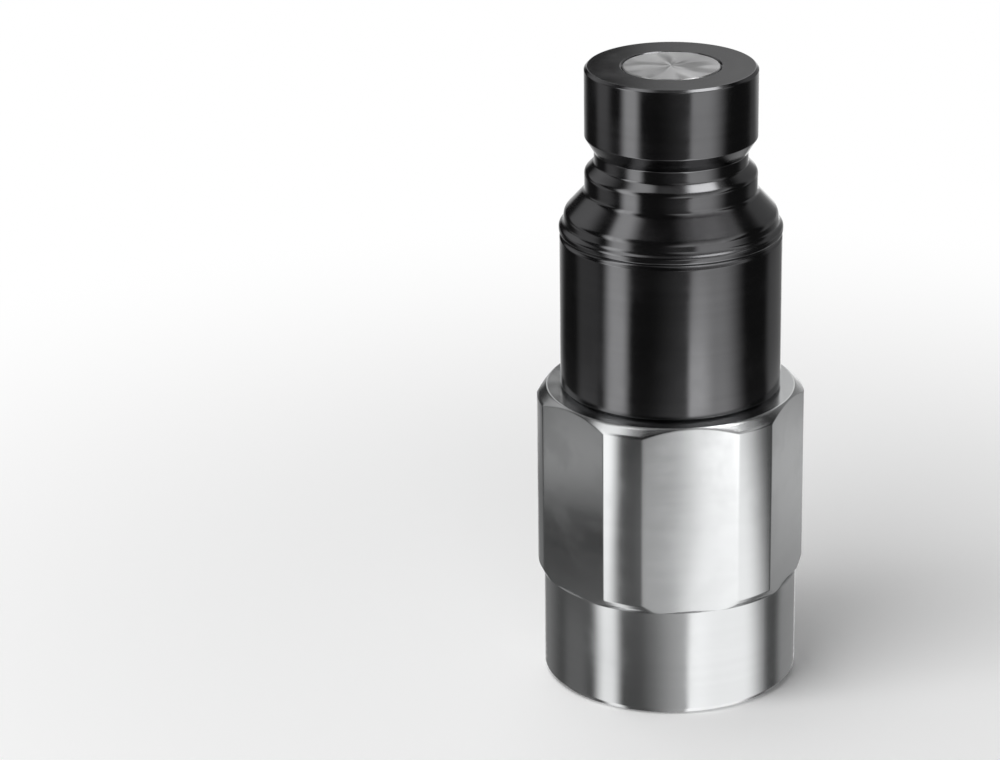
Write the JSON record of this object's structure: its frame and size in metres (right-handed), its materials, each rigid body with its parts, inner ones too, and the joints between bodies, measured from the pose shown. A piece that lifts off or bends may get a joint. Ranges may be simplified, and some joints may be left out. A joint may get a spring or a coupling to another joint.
{
  "type": "flat face coupling nipple",
  "caption": "Male half of a flat face hydraulic quick coupling: black turned nose and barrel with a locking groove, bright hexagon adapter with a female port, and sprung valves inside.",
  "frame": {"origin": "centre of the port face, on the nipple's axis", "axes": "+Z along the nipple's axis, from the port to the flat nose; a wrench flat faces -Y"},
  "size_m": [0.0384, 0.0366, 0.0914],
  "materials": {
    "black_steel": "gloss black",
    "bright_steel": "bright turned",
    "valve_steel": "face turned",
    "inner_steel": "machined",
    "spring_steel": "drawn wire",
    "bush_bronze": "machined",
    "seal_rubber": "smooth",
    "ring_plastic": "smooth"
  },
  "bodies": {
    "housing": {"nipple_body": "black_steel", "adapter": "bright_steel", "body_o_ring": "seal_rubber", "body_backup_ring": "ring_plastic", "main_spring": "spring_steel", "valve_guide": "inner_steel", "guide_bush": "bush_bronze", "check_seat": "inner_steel", "seat_o_ring": "seal_rubber", "check_cage": "inner_steel", "cage_bush": "bush_bronze", "check_spring": "spring_steel"},
    "main_valve": {"main_valve": "valve_steel", "valve_o_ring": "seal_rubber", "valve_backup_ring": "ring_plastic"},
    "check_valve": {"check_valve": "valve_steel", "check_seal": "ring_plastic", "seal_retainer": "inner_steel", "pilot_spring": "spring_steel", "pilot_plug": "inner_steel"},
    "pilot": {"pilot_pin": "valve_steel"}
  },
  "joints": [
    {"name": "main_valve_slide", "type": "slide", "parent": "housing", "child": "main_valve", "axis": [0, 0, -1], "range_m": [0, 0.007], "stiffness_N_per_m": 4000, "springref_m": -0.006, "deforming": ["main_spring"]},
    {"name": "check_valve_slide", "type": "slide", "parent": "housing", "child": "check_valve", "axis": [0, 0, -1], "range_m": [0, 0.0055], "stiffness_N_per_m": 2500, "springref_m": -0.004, "deforming": ["check_spring"]},
    {"name": "pilot_slide", "type": "slide", "parent": "check_valve", "child": "pilot", "axis": [0, 0, -1], "range_m": [0, 0.0012], "stiffness_N_per_m": 900, "springref_m": -0.003, "deforming": ["pilot_spring"]}
  ],
  "couplings": [
    {"joint": "check_valve_slide", "follows": "main_valve_slide", "ratio": 0.7857},
    {"joint": "pilot_slide", "follows": "main_valve_slide", "ratio": 0.1714}
  ]
}
